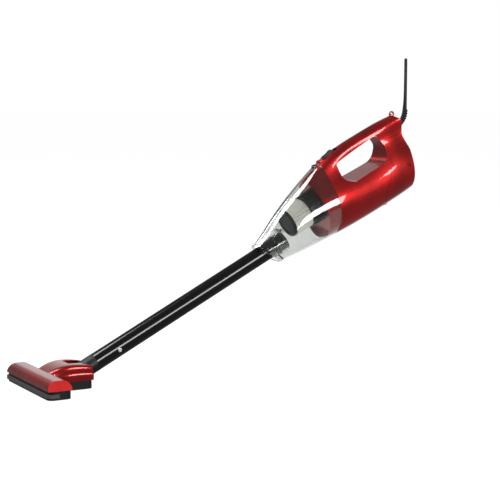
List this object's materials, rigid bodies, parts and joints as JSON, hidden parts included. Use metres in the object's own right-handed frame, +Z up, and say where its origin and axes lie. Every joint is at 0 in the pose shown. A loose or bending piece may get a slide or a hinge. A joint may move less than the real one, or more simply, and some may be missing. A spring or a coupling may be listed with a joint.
{
  "type": "stick vacuum cleaner",
  "caption": "Corded stick vacuum: floor head on a pivot, straight push-in wand, clear dust cup with a pleated filter, and a hand unit with a loop handle, motor and mains lead.",
  "frame": {"origin": "on the floor, in the middle of the floor head's front bristle strip", "axes": "+X from the floor head towards the hand unit, +Z up, +Y across the head"},
  "size_m": [0.9095, 0.2418, 0.6242],
  "materials": {
    "red_plastic": "gloss, metallic flake under a clear skin",
    "black_plastic": "satin, lightly grained",
    "black_gloss": "gloss",
    "clear_plastic": "clear, gloss",
    "grey_rubber": "matt",
    "black_rubber": "matt",
    "steel": "plain",
    "copper": "enamelled copper",
    "plated_brass": "nickel plated",
    "carbon": "matt",
    "paper": "pleated paper",
    "foam": "open cell",
    "wire_pvc": "pvc",
    "bristle": "nylon bristle"
  },
  "bodies": {
    "motor_unit": {"left_housing": "red_plastic", "right_housing": "red_plastic", "rear_cover": "red_plastic", "front_collar": "red_plastic", "filter_seal": "black_rubber", "motor_can": "steel", "front_bearing": "steel", "rear_bearing": "steel", "front_motor_mount": "black_rubber", "rear_motor_mount": "black_rubber", "stator_core": "steel", "field_windings": "copper", "brush_holders": "black_plastic", "carbon_brushes": "carbon", "fan_shroud": "black_plastic", "intake_guard": "black_plastic", "exhaust_foam": "foam", "wires": "wire_pvc", "cord_clamp": "black_plastic", "switch_body": "black_plastic", "housing_screws": "steel", "latch_spring": "steel", "hanging_loop": "red_plastic", "rest_foot": "red_plastic", "strain_relief": "black_rubber", "lead": "black_rubber", "lead_hank": "black_rubber", "lead_tail": "black_rubber", "lead_ties": "black_plastic", "plug_body": "black_plastic", "plug_pins": "plated_brass"},
    "rotor": {"motor_shaft": "steel", "armature": "steel", "commutator": "copper", "impeller": "black_plastic", "impeller_nut": "steel"},
    "power_switch": {"power_slider": "black_plastic"},
    "latch": {"latch_button": "red_plastic"},
    "filter": {"filter_cap": "black_plastic", "pleated_filter": "paper", "filter_holder": "black_plastic"},
    "dust_cup": {"cup_shell": "clear_plastic", "inlet_tube": "clear_plastic", "flap_pin": "steel"},
    "flap": {"inlet_flap": "grey_rubber"},
    "seal_ring": {"wand_seal": "black_rubber"},
    "wand": {"wand_tube": "black_gloss", "pivot_spigot": "black_plastic", "lock_spring": "steel"},
    "lock": {"lock_button": "black_plastic"},
    "floor_head": {"head_cover": "red_plastic", "head_base": "black_plastic", "bumper_strip": "black_rubber", "front_bristles": "bristle", "rear_bristles": "bristle", "pivot_pins": "steel", "head_screws": "steel"}
  },
  "joints": [
    {"name": "rotor_spin", "type": "hinge", "parent": "motor_unit", "child": "rotor", "pos_m": [0.69752, 0, 0.32209], "axis": [0.891, 0, 0.454], "continuous": true},
    {"name": "power_slide", "type": "slide", "parent": "motor_unit", "child": "power_switch", "axis": [0.891, 0, 0.454], "range_m": [0, 0.008]},
    {"name": "latch_press", "type": "slide", "parent": "motor_unit", "child": "latch", "axis": [0.454, 0, -0.891], "range_m": [0, 0.003], "stiffness_N_per_m": 600},
    {"name": "filter_twist", "type": "hinge", "parent": "motor_unit", "child": "filter", "pos_m": [0.58362, 0, 0.30333], "axis": [0.891, 0, 0.454], "range_deg": [0, 25]},
    {"name": "cup_release", "type": "slide", "parent": "motor_unit", "child": "dust_cup", "axis": [-0.891, 0, -0.454], "range_m": [0, 0.06]},
    {"name": "flap_swing", "type": "hinge", "parent": "dust_cup", "child": "flap", "pos_m": [0.53343, 0, 0.27495], "axis": [0, -1, 0], "range_deg": [0, 30]},
    {"name": "wand_turn", "type": "hinge", "parent": "dust_cup", "child": "seal_ring", "pos_m": [0.52281, 0, 0.24205], "axis": [0.891, 0, 0.454], "continuous": true},
    {"name": "wand_pull", "type": "slide", "parent": "seal_ring", "child": "wand", "axis": [-0.891, 0, -0.454], "range_m": [0, 0.06]},
    {"name": "lock_press", "type": "slide", "parent": "wand", "child": "lock", "axis": [0, 1, 0], "range_m": [0, 0.0022], "stiffness_N_per_m": 600},
    {"name": "head_pitch", "type": "hinge", "parent": "wand", "child": "floor_head", "pos_m": [0.088, 0, 0.0205], "axis": [0, 1, 0], "range_deg": [-22, 58]}
  ]
}
